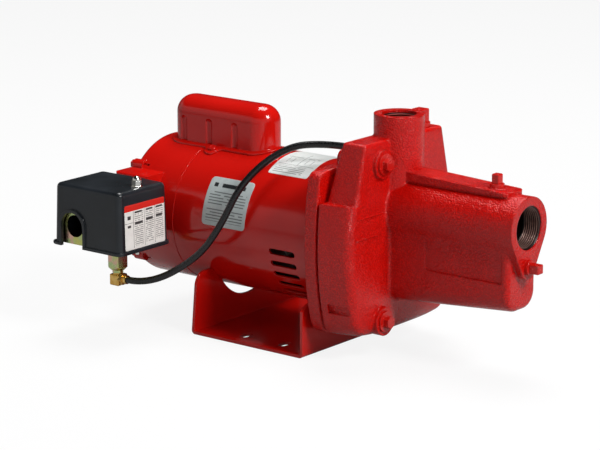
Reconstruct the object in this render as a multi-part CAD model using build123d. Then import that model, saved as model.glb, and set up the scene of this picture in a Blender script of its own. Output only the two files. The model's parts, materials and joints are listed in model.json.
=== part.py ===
from build123d import *
import math
import os

# Shallow-well jet pump, in millimetres.
# Origin: underside of the base foot, at its centre. +X runs along the shaft towards the
# suction port, +Y to the side away from the pressure switch, +Z up.

# Motor
SHELL_R = 72.3                          # 5.6 inch frame, outside
SHELL_WALL = 2.0
SHELL_LENGTH = 178.0
SHELL_BORE = SHELL_R - SHELL_WALL
BELL_LENGTH = 67.0
BELL_R = SHELL_R + 0.4
BELL_WALL = 3.5
BELL_EDGE = 9.0
SPIGOT_GAP = 4.0                        # dark gap between shell and mounting ring
SEAT = 0.3                              # clearance of a seated round piece
TOUCH = 0.02                            # clearance of two curved faces that rest together

# Base
FLOOR_GAP = 35.5                        # shell above the floor
AXIS_Z = SHELL_R + FLOOR_GAP
BASE_LENGTH = 141.6
BASE_WIDTH = 170.0
BASE_SHEET = 3.0
BASE_BEND = 4.0
SLOT_X = (-17.6, 31.4)
SLOT_Y = 63.5
SLOT_LENGTH = 16.0
SLOT_WIDTH = 9.0
BASE_BOLT_Y = 50.0
CRADLE_DROP = 34.0                      # relief under the shell: its centre below the shaft
CRADLE_R = SHELL_R - 24.0

# Stations along the shaft, worked out from the base's front face
RING_X0 = BASE_LENGTH / 2 + 5.6
RING_THICK = 14.0
SEAL_THICK = 3.0
CASE_X0 = RING_X0 + RING_THICK + SEAL_THICK
CASE_DEPTH = 35.8
CASE_X1 = CASE_X0 + CASE_DEPTH
SHELL_X1 = RING_X0 - SPIGOT_GAP
SHELL_X0 = SHELL_X1 - SHELL_LENGTH
BELL_X0 = SHELL_X0 - BELL_LENGTH

# Motor insides
STATOR_X0 = SHELL_X0 + 27.6
STATOR_X1 = SHELL_X1 - 80.4
END_TURN = 22.0
ROTOR_R = 0.57 * SHELL_BORE
AIR_GAP = 0.6
SHAFT_R = 8.0

# Vent slots near the front of the shell, alike on both sides
VENT_LENGTH = 32.0
VENT_X1 = SHELL_X1 - 22.0
VENT_WIDTH = 6.0
VENT_COUNT = 6
VENT_FIRST = 8.3                        # degrees below the shaft
VENT_PITCH = 10.2

# Capacitor cover on top of the motor
CAP_X0 = BELL_X0 + 17.6
CAP_LENGTH = 125.5
CAP_HALF = 19.5
CAP_TOP = AXIS_Z + SHELL_R + 44.3
CAP_CROWN = 17.5
CAP_SHEET = 1.5
CAP_BRIM = 5.0
CAP_TAB_X = CAP_X0 + CAP_LENGTH / 2
CAP_TAB_Y = CAP_HALF + 6.0
CAP_TAB_R = 8.0
FLUTE_MID = CAP_X0 + CAP_LENGTH / 2 - 9.8
FLUTE_PITCH = 33.5
FLUTE_R = 5.0
FLUTE_DEPTH = 2.4
CAN_R = 15.0
SCREW_R = 2.0

# Rear of the motor
TERMINAL_Y = -(SHELL_R + 11.7)
TERMINAL_TOP = AXIS_Z + 45.2
TERMINAL_BOTTOM = AXIS_Z - 19.8
TERMINAL_LENGTH = 43.0
EAR_R = 6.0
EAR_LENGTH = 13.0
EAR_CIRCLE = SHELL_R - 2.3
EAR_ANGLES = (42, 138, 222, 318)
COVER_R = 44.0
COVER_THICK = 7.0
COVER_SCREW_R = COVER_R - 11.0

# Pump casing
CASE_MID = SHELL_R + 17.7               # half width at shaft height
CASE_SPLIT_Z = AXIS_Z + 50.5            # ledge where the round part ends
HEEL_R = 18.0                           # round lower front of the casing
BLOCK_TOP = AXIS_Z + SHELL_R + 35.2     # top of the priming chamber
BLOCK_HALF = 63.0
BLOCK_LEAN = 9.4
BLOCK_EDGE = 6.0
OUTLET_X = CASE_X1 - 6.8                # discharge port, 1 inch pipe thread
OUTLET_TOP = BLOCK_TOP + 21.0
OUTLET_R = 24.7
OUTLET_BORE = 16.7
OUTLET_DEPTH = 60.0
SNOUT_X1 = CASE_X1 + 137.8
SNOUT_HALF = 23.5
SNOUT_BOTTOM_0 = AXIS_Z - 54.0          # underside at the casing
SNOUT_BOTTOM_1 = AXIS_Z - 43.0          # underside at the suction end
SNOUT_ROUND = 17.0
SNOUT_EDGE = 5.0
ROOT_ROUND = 5.0
BOSS_ROUND = 3.0
PANEL_DEPTH = 1.8
SUCTION_Z = AXIS_Z + 37.8               # suction port, 1-1/4 inch pipe thread
SUCTION_X = SNOUT_X1 + 6.8
SUCTION_R = 30.0
SUCTION_BORE = 21.1
SUCTION_DEPTH = 110.0
PLUG_Z = SUCTION_Z - 38.1               # cleaning plug under the suction port
PAD_TONGUE_R = 11.5
RIB_HALF = 15.0
RIB_END = SNOUT_X1 - 9.0
RIB_Z0 = SUCTION_Z + 38.7
RIB_Z1 = SUCTION_Z + 32.6
GAUGE_X = SNOUT_X1 - 30.0
GAUGE_Z = RIB_Z1 + 2.0

# Fasteners of the pump end: distance from the middle and height
BOLT_UPPER = (37.0, AXIS_Z + SHELL_R + 13.4)
BOLT_LOWER = (34.0, AXIS_Z - SHELL_R + 2.0)
BOLT_FAR_UPPER = (70.0, AXIS_Z + 32.0)
BOLT_FAR_LOWER = (66.0, AXIS_Z - 36.0)
BOLT_R = 4.0
BOLT_GAP = 0.3
SPOT_R = 14.2
SPOT_HEIGHT = 3.5
BASE_BOLT_Z = BOLT_LOWER[1] + 1.0
PRIME_X = OUTLET_X - 8.4
PRIME_Y = 46.0
PRIME_HEIGHT = 17.5
GAUGE_HEIGHT = 12.5
CLEAN_HEIGHT = 14.0

# Pressure switch, hung on the terminal box by a conduit nipple
SWITCH_LENGTH = 89.4
SWITCH_DEPTH = 73.3
SWITCH_HEIGHT = 63.0
SWITCH_X0 = BELL_X0 - 15.1
SWITCH_X1 = SWITCH_X0 + SWITCH_LENGTH
SWITCH_Y1 = TERMINAL_Y - 2.0
SWITCH_Y0 = SWITCH_Y1 - SWITCH_DEPTH
SWITCH_Z0 = AXIS_Z - 18.0
SWITCH_Z1 = SWITCH_Z0 + SWITCH_HEIGHT
SWITCH_WALL = 2.2
SWITCH_CORNER = 6.0
SWITCH_DRAFT = 1.5
ARCH_R = 14.5
ARCH_RIM = 3.0
PLATE_THICK = 2.0
PLATE_INSET = 4.2
PLATE_Z = SWITCH_Z0 + 2.0
CONDUIT_X = SWITCH_X0 + 25.6
CONDUIT_Z = SWITCH_Z0 + 20.8
CONDUIT_R = 11.2
NIPPLE_FLATS = 24.0
STEM_X = SWITCH_X0 + 48.1
STEM_Y = SWITCH_Y0 + 41.3
STUD_X = SWITCH_X1 - 10.5
STUD_Y = SWITCH_Y0 + 37.5
STUD_R = 2.5
NUT_FLATS = 9.0
NUT_HEIGHT = 6.5
CONTACT_SIZE = (23.0, 42.0, 26.0)
CUP_R = 18.0
CUP_HEIGHT = 6.0
HEX_TOP = PLATE_Z + PLATE_THICK - CUP_HEIGHT - 2.0
HEX_BOTTOM = HEX_TOP - 23.3
HEX_FLATS = 19.0
NECK_R = 5.5
ELBOW_Z = HEX_BOTTOM - 9.0

# Sensing tube: corners of its route, chosen by hand between elbow and barb fitting
TUBE_R = 3.5
TUBE_Y = -13.0
TUBE_TOP = AXIS_Z + SHELL_R + 18.4
TUBE_ROUTE = [
    (STEM_X + 13.0, STEM_Y, ELBOW_Z),
    (STEM_X + 42.0, STEM_Y, ELBOW_Z),
    (-53.6, -SHELL_R - 24.7, AXIS_Z - 25.5),
    (-25.6, -SHELL_R - 20.7, AXIS_Z + 10.5),
    (-13.6, -SHELL_R - 1.7, AXIS_Z + 55.0),
    (8.9, -SHELL_R + 38.8, TUBE_TOP - 4.2),
    (CASE_X0 - 48.0, TUBE_Y, TUBE_TOP),
    (CASE_X0 - 15.0, TUBE_Y, TUBE_TOP),
]
BARB_R = 4.5
BARB_HEX = 8.0
BARB_FLATS = 11.0
BARB_END = TUBE_ROUTE[-1][0] + 24.6

os.makedirs("parts", exist_ok=True)


def save(shape, node):
    export_step(shape, f"parts/{node}.step")


def box(x0, x1, y0, y1, z0, z1):
    """Box between two opposite corners."""
    return Pos((x0 + x1) / 2, (y0 + y1) / 2, (z0 + z1) / 2) * Box(x1 - x0, y1 - y0, z1 - z0)


def rod(start, axis, radius, length):
    """Cylinder from a start point along an axis."""
    return extrude(Plane(origin=start, z_dir=axis) * Circle(radius), length)


def shaft_rod(x0, x1, radius):
    """Cylinder on the shaft's own axis."""
    return rod((x0, 0, AXIS_Z), (1, 0, 0), radius, x1 - x0)


def hexagon(start, axis, flats, length, turn=0):
    """Hexagonal bar given across its flats."""
    sketch = RegularPolygon(flats / 2, 6, major_radius=False, rotation=turn)
    return extrude(Plane(origin=start, z_dir=axis) * sketch, length)


def yz(x):
    """Sketch plane at x, with local x along +Y and local y along +Z."""
    return Plane(origin=(x, 0, 0), x_dir=(0, 1, 0), z_dir=(1, 0, 0))


def polygon(plane, points):
    return plane * make_face(Polyline(points, close=True))


def rounded(shape, edges, radius):
    """Fillet, stepping the radius down where the edges will not take it."""
    for share in (1.0, 0.8, 0.6, 0.4, 0.25):
        try:
            result = fillet(edges, radius * share)
        except Exception:
            continue
        if result.is_valid and result.volume > 0:
            return result
    print("fillet left out", radius)
    return shape


def edges_in(shape, x=None, y=None, z=None, shortest=0):
    """Edges whose centre lies in the given ranges."""
    found = []
    for edge in shape.edges():
        centre = edge.center()
        spans = ((x, centre.X), (y, centre.Y), (z, centre.Z))
        if all(span is None or span[0] <= value <= span[1] for span, value in spans):
            if edge.length > shortest:
                found.append(edge)
    return found


def both_sides(shape):
    """A shape and its mirror across the XZ plane."""
    return [shape, mirror(shape, Plane.XZ)]


def on_circle(radius, angle):
    """Point at an angle from +Y, round the shaft."""
    turn = math.radians(angle)
    return radius * math.cos(turn), AXIS_Z + radius * math.sin(turn)


def bulged_square(inset):
    """Casting outline in y and z: four bowed sides with rounded corners, drawn in by inset."""
    mid = CASE_MID - inset
    half_top, half_bottom = mid - 8, mid - 13
    top = AXIS_Z + CASE_MID - 11.8 - inset / 2
    bottom = AXIS_Z - CASE_MID + 9.2 + inset / 2
    right = ThreePointArc((half_bottom, bottom), (mid, AXIS_Z), (half_top, top))
    over = ThreePointArc((half_top, top), (0, top + 3.5), (-half_top, top))
    left = ThreePointArc((-half_top, top), (-mid, AXIS_Z), (-half_bottom, bottom))
    under = ThreePointArc((-half_bottom, bottom), (0, bottom - 6), (half_bottom, bottom))
    face = make_face(Wire([right, over, left, under]))
    face = fillet([v for v in face.vertices() if v.Y > AXIS_Z], 8)
    return fillet([v for v in face.vertices() if v.Y < AXIS_Z - CASE_MID / 2], 20)


# Motor

def motor_shell():
    """Rolled tube with six slots on each side, fanned round the shaft."""
    ring = yz(SHELL_X0) * (Pos(0, AXIS_Z) * (Circle(SHELL_R) - Circle(SHELL_BORE)))
    shell = extrude(ring, SHELL_LENGTH)
    slot = extrude(Plane.XZ * SlotOverall(VENT_LENGTH, VENT_WIDTH), SHELL_R / 2)
    slot = Pos(VENT_X1 - VENT_LENGTH / 2, -SHELL_R * 0.75, 0) * slot
    for k in range(VENT_COUNT):
        cut = Pos(0, 0, AXIS_Z) * Rot(VENT_FIRST + VENT_PITCH * k, 0, 0) * slot
        for side in both_sides(cut):
            shell -= side
    return shell


def stator_core():
    core = shaft_rod(STATOR_X0, STATOR_X1, SHELL_BORE)
    return core - shaft_rod(STATOR_X0, STATOR_X1, ROTOR_R + AIR_GAP)


def winding(x0):
    """One end turn: a fat ring that stands on the stator's face."""
    inner, outer = ROTOR_R + 2.4, SHELL_BORE - 9.8
    place = Pos(x0 + END_TURN / 2, AXIS_Z + (inner + outer) / 2)
    section = Plane.XZ * (place * RectangleRounded(END_TURN, outer - inner, 5))
    return revolve(section, Axis((0, 0, AXIS_Z), (1, 0, 0)))


def rotor_and_shaft():
    rotor = shaft_rod(STATOR_X0 + 2, STATOR_X1 - 2, ROTOR_R)
    return rotor + shaft_rod(BELL_X0 + 30, CASE_X0, SHAFT_R)


def front_end_bell():
    """Bearing plate: a rim inside the shell and a smaller spigot on the mounting ring."""
    x0 = SHELL_X1 - 14.4
    bell = shaft_rod(x0, SHELL_X1, SHELL_BORE)
    bell += shaft_rod(SHELL_X1, RING_X0, SHELL_R - 6)
    bell -= shaft_rod(x0 - 1, SHELL_X1 - 6.4, SHELL_R - 12)
    bell += shaft_rod(x0 - 14, SHELL_X1 - 4, 3 * SHAFT_R)
    return bell - shaft_rod(x0 - 20, RING_X0 + 1, SHAFT_R + SEAT)


def ears(length, radius):
    """Rods on the four through-bolt places, from the rear face forwards."""
    rods = []
    for angle in EAR_ANGLES:
        y, z = on_circle(EAR_CIRCLE, angle)
        rods.append(rod((BELL_X0, y, z), (1, 0, 0), radius, length))
    return rods


def rear_end_bell():
    """Drawn rear cup with four bolt ears, a terminal box on its side and a bearing seat."""
    bell = shaft_rod(BELL_X0, SHELL_X0, BELL_R)
    bell = fillet(edges_in(bell, x=(BELL_X0 - 1, BELL_X0 + 0.1)), BELL_EDGE)
    terminal = box(BELL_X0, BELL_X0 + TERMINAL_LENGTH, TERMINAL_Y, -SHELL_R / 2,
                   TERMINAL_BOTTOM, TERMINAL_TOP)
    terminal = rounded(terminal, edges_in(terminal, y=(TERMINAL_Y - 1, TERMINAL_Y + 1)), 3)
    bell += terminal
    for ear in ears(EAR_LENGTH, EAR_R):
        bell += ear
    bell -= shaft_rod(BELL_X0 + BELL_WALL, SHELL_X0 + 1, BELL_R - BELL_WALL)
    bell -= box(BELL_X0 + 8, BELL_X0 + TERMINAL_LENGTH - 5, TERMINAL_Y + 3, -SHELL_R / 2 + 5,
                TERMINAL_BOTTOM + 5, TERMINAL_TOP - 5)
    bell += shaft_rod(BELL_X0 + 2, BELL_X0 + 32, 3 * SHAFT_R)
    bell -= shaft_rod(BELL_X0 + 24, BELL_X0 + 40, SHAFT_R + SEAT)
    bell -= rod((CONDUIT_X, TERMINAL_Y - 5, CONDUIT_Z), (0, 1, 0), CONDUIT_R - 1, 15)
    for hole in ears(20, 2.8):
        bell -= hole
    return bell


def rear_cover():
    """Round cap over the motor's switch and wiring."""
    cover = shaft_rod(BELL_X0 - COVER_THICK, BELL_X0, COVER_R)
    cover = fillet(edges_in(cover, x=(BELL_X0 - COVER_THICK - 1, BELL_X0 - COVER_THICK + 0.1)), 4)
    for angle in (90, 270):
        y, z = on_circle(COVER_SCREW_R, angle)
        cover -= rod((BELL_X0 - COVER_THICK, y, z), (1, 0, 0), 5, 3)
    return cover


def rear_cover_screw(angle):
    y, z = on_circle(COVER_SCREW_R, angle)
    x = BELL_X0 - COVER_THICK
    return rod((x, y, z), (1, 0, 0), 4, 3)


def through_bolt(angle):
    y, z = on_circle(EAR_CIRCLE, angle)
    head = hexagon((BELL_X0, y, z), (-1, 0, 0), 8, 4)
    return head + rod((BELL_X0, y, z), (1, 0, 0), 2.5, 17)


# Capacitor cover

def cap_dome(inset):
    """Long dome: straight sides, round ends and a rounded crown, drawn in by inset."""
    half = CAP_HALF - inset
    plan = SlotOverall(CAP_LENGTH - 2 * inset, 2 * half)
    foot = AXIS_Z + SHELL_R - 25
    dome = extrude(Pos(CAP_X0 + CAP_LENGTH / 2, 0, foot) * plan, CAP_TOP - inset - foot)
    crown = edges_in(dome, z=(CAP_TOP - inset - 0.1, CAP_TOP))
    return fillet(crown, CAP_CROWN - inset)


def capacitor_cover():
    """Drawn cover: fluted sides, a brim that follows the shell and a screw tab each side."""
    outer = cap_dome(0)
    middle = CAP_X0 + CAP_LENGTH / 2
    for k in (-1, 0, 1):
        start = (FLUTE_MID + k * FLUTE_PITCH, -CAP_HALF - FLUTE_R + FLUTE_DEPTH, AXIS_Z + SHELL_R - 25)
        groove = rod(start, (0, 0, 1), FLUTE_R, CAP_TOP - CAP_CROWN - start[2] - 1)
        top = edges_in(groove, z=(CAP_TOP - CAP_CROWN - 1.1, CAP_TOP))
        for side in both_sides(fillet(top, FLUTE_R - 0.5)):
            outer -= side
    brim = Pos(middle, 0) * SlotOverall(CAP_LENGTH + 2 * CAP_BRIM, 2 * (CAP_HALF + CAP_BRIM))
    for y in (-CAP_TAB_Y, CAP_TAB_Y):
        brim += Pos(CAP_TAB_X, y) * Circle(CAP_TAB_R)
    notches = [v for v in brim.vertices() if abs(v.X - CAP_TAB_X) < 2 * CAP_TAB_R]
    brim = fillet(notches, 5)
    flange = extrude(Pos(0, 0, AXIS_Z) * brim, CAP_TOP - AXIS_Z)
    flange &= shaft_rod(CAP_X0 - 20, CAP_X0 + CAP_LENGTH + 20, BELL_R + CAP_SHEET)
    cover = outer + flange
    cover -= cap_dome(CAP_SHEET + FLUTE_DEPTH)
    cover -= shaft_rod(CAP_X0 - 20, CAP_X0 + CAP_LENGTH + 20, BELL_R + TOUCH)
    for screw in cap_screws(SCREW_R + 0.2, 0.01):
        cover -= screw
    return cover


def cap_screws(radius, head):
    """Screws square to the shell through the two tabs."""
    screws = []
    lean = math.degrees(math.asin(CAP_TAB_Y / BELL_R))
    seat = BELL_R + CAP_SHEET
    shank = Pos(CAP_TAB_X, 0, AXIS_Z) * rod((0, 0, BELL_R + TOUCH), (0, 0, 1), radius, seat - BELL_R)
    top = rod((CAP_TAB_X, 0, AXIS_Z + seat), (0, 0, 1), 2 * radius, head)
    screw = shank + top
    for turn in (lean, -lean):
        screws.append(screw.rotate(Axis((0, 0, AXIS_Z), (1, 0, 0)), turn))
    return screws


def start_capacitor():
    x0 = CAP_X0 + 17
    z = AXIS_Z + BELL_R + SEAT + CAN_R
    return rod((x0, 0, z), (1, 0, 0), CAN_R, CAP_LENGTH - 34)


# Base

def base_bracket():
    """One bent sheet: a floor with two uprights that carry motor and pump."""
    half = BASE_LENGTH / 2
    height = AXIS_Z
    outer = Plane.XZ * (Pos(0, height / 2) * Rectangle(BASE_LENGTH, height))
    channel = extrude(outer, BASE_WIDTH / 2, both=True)
    channel = fillet(edges_in(channel, z=(-1, 1), shortest=BASE_WIDTH - 1), BASE_BEND)
    inside = Pos(0, BASE_SHEET + height / 2) * Rectangle(BASE_LENGTH - 2 * BASE_SHEET, height)
    inner = extrude(Plane.XZ * inside, BASE_WIDTH, both=True)
    inner = fillet(edges_in(inner, z=(0, BASE_SHEET + 1), shortest=BASE_WIDTH), BASE_BEND - BASE_SHEET)
    channel -= inner
    channel &= rear_upright(half) + front_upright(half)
    for x in SLOT_X:
        for y in (-SLOT_Y, SLOT_Y):
            slot = Pos(x, y, -1) * SlotOverall(SLOT_LENGTH, SLOT_WIDTH, rotation=90)
            channel -= extrude(slot, BASE_SHEET + 2)
    for y in (-BASE_BOLT_Y, BASE_BOLT_Y):
        channel -= rod((half - 10, y, BASE_BOLT_Z), (1, 0, 0), BOLT_R + BOLT_GAP, 20)
    return channel


def rear_upright(half):
    """Outline of the rear upright: tapered sides, round shoulders and a cradle."""
    w = BASE_WIDTH / 2
    top = AXIS_Z - 45.3
    points = [(-w, 0), (w, 0), (w, 4), (w - 6, top), (-w + 6, top), (-w, 4)]
    face = polygon(Plane.XY, points)
    face = fillet([v for v in face.vertices() if v.Y > 50], 15)
    solid = extrude(yz(-half - 1) * face, 2 * half - 9)
    solid -= shaft_rod(-half - 5, half, SHELL_R + TOUCH)
    return solid - rod((-half - 5, 0, AXIS_Z - CRADLE_DROP), (1, 0, 0), CRADLE_R, 2 * half)


def front_upright(half):
    """Outline of the front upright: chamfered corners below the mounting ring."""
    w = BASE_WIDTH / 2
    top = AXIS_Z - SHELL_R + 17.5
    points = [(-w, 0), (w, 0), (w, top - 6), (w - 9, top), (-w + 9, top), (-w, top - 6)]
    solid = extrude(polygon(yz(half - 12), points), 13)
    return solid - shaft_rod(-half, half + 20, SHELL_R + 1.5)


def base_bolt(y):
    back = BASE_LENGTH / 2 - BASE_SHEET
    head = hexagon((back, y, BASE_BOLT_Z), (-1, 0, 0), 13, 5.5)
    return head + rod((back, y, BASE_BOLT_Z), (1, 0, 0), BOLT_R, BASE_SHEET + 12)


# Pump end

def bolt_places():
    near = [(-y, z) for y, z in (BOLT_UPPER, BOLT_LOWER)]
    return near + [BOLT_FAR_UPPER, BOLT_FAR_LOWER]


def mounting_ring():
    """Plate between motor and pump, with pads for the base bolts and the upper bolt."""
    ring = extrude(yz(RING_X0) * bulged_square(0), RING_THICK)
    ring = rounded(ring, edges_in(ring, x=(RING_X0 - 0.1, RING_X0 + 0.1)), 1.5)
    ring = rounded(ring, edges_in(ring, x=(CASE_X0 - SEAL_THICK - 0.1, CASE_X0)), 1.5)
    ring += rod((RING_X0 + 6, -BOLT_UPPER[0], BOLT_UPPER[1]), (1, 0, 0), 9, RING_THICK - 6)
    for y in (-BASE_BOLT_Y, BASE_BOLT_Y):
        ring += rod((BASE_LENGTH / 2, y, BASE_BOLT_Z), (1, 0, 0), 9, RING_X0 - BASE_LENGTH / 2 + 4)
    ring -= shaft_rod(RING_X0 - 1, CASE_X0, SHAFT_R + 2)
    for y, z in bolt_places():
        ring -= rod((RING_X0 + 1, y, z), (1, 0, 0), BOLT_R + BOLT_GAP, RING_THICK)
    for y in (-BASE_BOLT_Y, BASE_BOLT_Y):
        ring -= rod((BASE_LENGTH / 2 - 1, y, BASE_BOLT_Z), (1, 0, 0), BOLT_R + BOLT_GAP, 14)
    return ring


def seal_plate():
    x0 = CASE_X0 - SEAL_THICK
    return shaft_rod(x0, CASE_X0, CASE_MID - 20) - shaft_rod(x0, CASE_X0, SHAFT_R + 2)


def casing_body():
    """Round part of the casing: drafted sides, soft front edge, round heel, a pocket low on each side."""
    body = loft([yz(CASE_X0) * bulged_square(0), yz(CASE_X1) * bulged_square(4.5)])
    body = rounded(body, edges_in(body, x=(CASE_X1 - 0.1, CASE_X1 + 0.1)), 9)
    body -= box(CASE_X0 - 1, CASE_X1 + 1, -CASE_MID - 9, CASE_MID + 9, CASE_SPLIT_Z, BLOCK_TOP)
    ledge = AXIS_Z - 57
    pocket = [(-CASE_MID - 5, ledge - 1), (-CASE_MID + 11.5, ledge), (-CASE_MID + 9.5, ledge + 8),
              (-CASE_MID - 5, ledge + 14)]
    for side in both_sides(extrude(polygon(yz(CASE_X0 + 7), pocket), CASE_DEPTH - 11)):
        body -= side
    bottom = AXIS_Z - CASE_MID + 3.2
    heel = box(CASE_X1 - HEEL_R, CASE_X1 + 1, -CASE_MID, CASE_MID, bottom - 1, bottom + HEEL_R)
    return body - (heel - rod((CASE_X1 - HEEL_R, -CASE_MID, bottom + HEEL_R), (0, 1, 0),
                              HEEL_R, 2 * CASE_MID))


def priming_chamber():
    """Block on top: leaning sides, leaning rear face, soft edges."""
    z0 = CASE_SPLIT_Z - 30
    points = [(-BLOCK_HALF - 21, z0), (BLOCK_HALF + 21, z0), (BLOCK_HALF, BLOCK_TOP), (-BLOCK_HALF, BLOCK_TOP)]
    block = extrude(polygon(yz(CASE_X0 - 20), points), CASE_DEPTH + 20)
    behind = [(CASE_X0 - 30, z0 - 5), (CASE_X0, z0 - 5), (CASE_X0, CASE_SPLIT_Z),
              (CASE_X0 + BLOCK_LEAN, BLOCK_TOP + 5), (CASE_X0 - 30, BLOCK_TOP + 5)]
    block -= extrude(polygon(Plane.XZ, behind), 2 * CASE_MID, both=True)
    upper = edges_in(block, z=(BLOCK_TOP - 1, BLOCK_TOP + 1))
    sides = [e for e in edges_in(block, z=(CASE_SPLIT_Z, BLOCK_TOP - 1), shortest=40)]
    return rounded(block, upper + sides, BLOCK_EDGE)


def snout_section(x, bottom):
    """Section of the ejector housing below its tube: flat sides and round lower corners."""
    middle = Pos(0, (SUCTION_Z + bottom) / 2)
    face = middle * Rectangle(2 * SNOUT_HALF, SUCTION_Z - bottom)
    return yz(x) * fillet(face.vertices().sort_by(Axis.Y)[:2], SNOUT_ROUND)


def snout():
    """Ejector housing: suction tube above, flat-sided chamber with a round underside below."""
    x0 = CASE_X0 + 10
    drop = (SNOUT_BOTTOM_1 - SNOUT_BOTTOM_0) * (CASE_X1 - x0) / (SNOUT_X1 - CASE_X1)
    chamber = loft([snout_section(x0, SNOUT_BOTTOM_0 - drop), snout_section(SNOUT_X1, SNOUT_BOTTOM_1)])
    end = [e for e in edges_in(chamber, x=(SNOUT_X1 - 0.1, SNOUT_X1 + 0.1)) if e.center().Z < SUCTION_Z - 1]
    chamber = rounded(chamber, end, SNOUT_EDGE)
    return chamber + rod((x0, 0, SUCTION_Z), (1, 0, 0), SUCTION_R, SNOUT_X1 - 5 - x0)


def snout_panel():
    """Shallow cast recess in each flat side of the ejector housing."""
    panel = box(CASE_X1 + 42, SNOUT_X1 - 8, -SNOUT_HALF - 3, -SNOUT_HALF + PANEL_DEPTH,
                AXIS_Z - 14.5, AXIS_Z + 13.5)
    return both_sides(panel)


def suction_pad():
    """Drop-shaped face round the suction port and the plug below it."""
    big = Pos(0, SUCTION_Z) * Circle(SUCTION_R)
    small = Pos(0, PLUG_Z) * Circle(PAD_TONGUE_R)
    face = make_hull(big.edges() + small.edges())
    return extrude(yz(SNOUT_X1 - 11) * face, SUCTION_X - SNOUT_X1 + 11)


def top_rib():
    """Flat rib on the suction tube, sloping to its end, with the gauge plug's boss."""
    points = [(OUTLET_X, SUCTION_Z + 15), (RIB_END, SUCTION_Z + 15), (RIB_END, RIB_Z1), (OUTLET_X, RIB_Z0)]
    rib = extrude(polygon(Plane.XZ, points), RIB_HALF, both=True)
    end = [e for e in rib.edges().filter_by(Axis.Z) if e.center().X > RIB_END - 1]
    rib = rounded(rib, end, 6)
    under = box(CASE_X1 - 5, RIB_END + 5, -RIB_HALF - 1, -RIB_HALF + 2.5, SUCTION_Z + 10, RIB_Z1 - 3.5)
    for side in both_sides(under):
        rib -= side
    return rib + rod((GAUGE_X, 0, SUCTION_Z), (0, 0, 1), 8.5, GAUGE_Z - SUCTION_Z)


def boss_joint(case):
    """Edges where the discharge boss leaves the block's front face and top."""
    reach = OUTLET_R + 1
    near = edges_in(case, x=(OUTLET_X - OUTLET_R, CASE_X1 + 0.1), y=(-reach, reach),
                    z=(CASE_SPLIT_Z, BLOCK_TOP + 0.1))
    front = [e for e in near if e.center().X > CASE_X1 - 3]
    top = [e for e in near if e.center().Z > BLOCK_TOP - 0.1]
    return [e for e in front + top if abs(e.center().Y) > 0.8 * OUTLET_R]


def pump_casing():
    """One casting: round casing, priming chamber, discharge boss and ejector housing."""
    case = casing_body() + priming_chamber()
    case += rod((OUTLET_X, 0, SUCTION_Z), (0, 0, 1), OUTLET_R, OUTLET_TOP - SUCTION_Z)
    case = rounded(case, boss_joint(case), BOSS_ROUND)
    case += snout()
    root = edges_in(case, x=(CASE_X1 - 0.2, CASE_X1 + 0.2), y=(-SUCTION_R - 1, SUCTION_R + 1),
                    z=(SNOUT_BOTTOM_0 - 5, SUCTION_Z + SUCTION_R))
    case = rounded(case, root, ROOT_ROUND)
    for panel in snout_panel():
        case -= panel
    case += suction_pad()
    case += top_rib()
    for y, z in bolt_places():
        case += rod((CASE_X1 - 8, y, z), (1, 0, 0), SPOT_R, 8 + SPOT_HEIGHT)
    case -= rod((OUTLET_X, 0, OUTLET_TOP - OUTLET_DEPTH), (0, 0, 1), OUTLET_BORE, OUTLET_DEPTH)
    case -= rod((SUCTION_X - SUCTION_DEPTH, 0, SUCTION_Z), (1, 0, 0), SUCTION_BORE, SUCTION_DEPTH)
    for y, z in bolt_places():
        case -= rod((CASE_X0 - 20, y, z), (1, 0, 0), BOLT_R + BOLT_GAP, 80)
    case -= shaft_rod(CASE_X0 - 1, CASE_X0 + 7, SHAFT_R + 2)
    x, y, z = TUBE_ROUTE[-1]
    return case - rod((x, y, z), (1, 0, 0), BARB_R + SEAT, BARB_END + SEAT - x)


def casing_bolt(y, z):
    """Washer-faced hex bolt through the casing into the mounting ring."""
    face = CASE_X1 + SPOT_HEIGHT
    bolt = rod((face, y, z), (1, 0, 0), 10.5, 2)
    bolt += hexagon((face + 2, y, z), (1, 0, 0), 11, 5.5)
    return bolt + rod((RING_X0 + 3, y, z), (1, 0, 0), BOLT_R, face - RING_X0 - 3)


def square_plug(start, axis, flange_r, square, height, turn=0):
    """Pipe plug: a round shoulder with a square head on it."""
    plane = Plane(origin=start, z_dir=axis)
    plug = extrude(plane * Circle(flange_r), height / 4)
    head = extrude(plane.offset(height / 4) * RectangleRounded(square, square, 1, rotation=turn),
                   height * 0.75)
    return plug + chamfer(edges_in(head, **top_range(start, axis, height)), 0.8)


def top_range(start, axis, height):
    """Range that picks the far edges of a plug."""
    if axis[2]:
        return {"z": (start[2] + height - 0.1, start[2] + height + 0.1)}
    return {"x": (start[0] + height - 0.1, start[0] + height + 0.1)}


# Pressure switch

def switch_block(inset):
    """Moulded box: round corners, sides that lean in a little, drawn in by inset."""
    x, y = (SWITCH_X0 + SWITCH_X1) / 2, (SWITCH_Y0 + SWITCH_Y1) / 2
    length, depth = SWITCH_LENGTH - 2 * inset, SWITCH_DEPTH - 2 * inset
    lower = Pos(x, y, SWITCH_Z0) * RectangleRounded(length, depth, SWITCH_CORNER)
    upper = Pos(x, y, SWITCH_Z1 - inset) * RectangleRounded(
        length - 2 * SWITCH_DRAFT, depth - 2 * SWITCH_DRAFT, SWITCH_CORNER)
    return loft([lower, upper])


def switch_arch(y0, y1, radius):
    """Opening round the conduit hole, open to the cover's lower edge."""
    arch = rod((CONDUIT_X, y0, CONDUIT_Z), (0, 1, 0), radius, y1 - y0)
    return arch + box(CONDUIT_X - radius, CONDUIT_X + radius, y0, y1, SWITCH_Z0 - 1, CONDUIT_Z)


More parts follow.
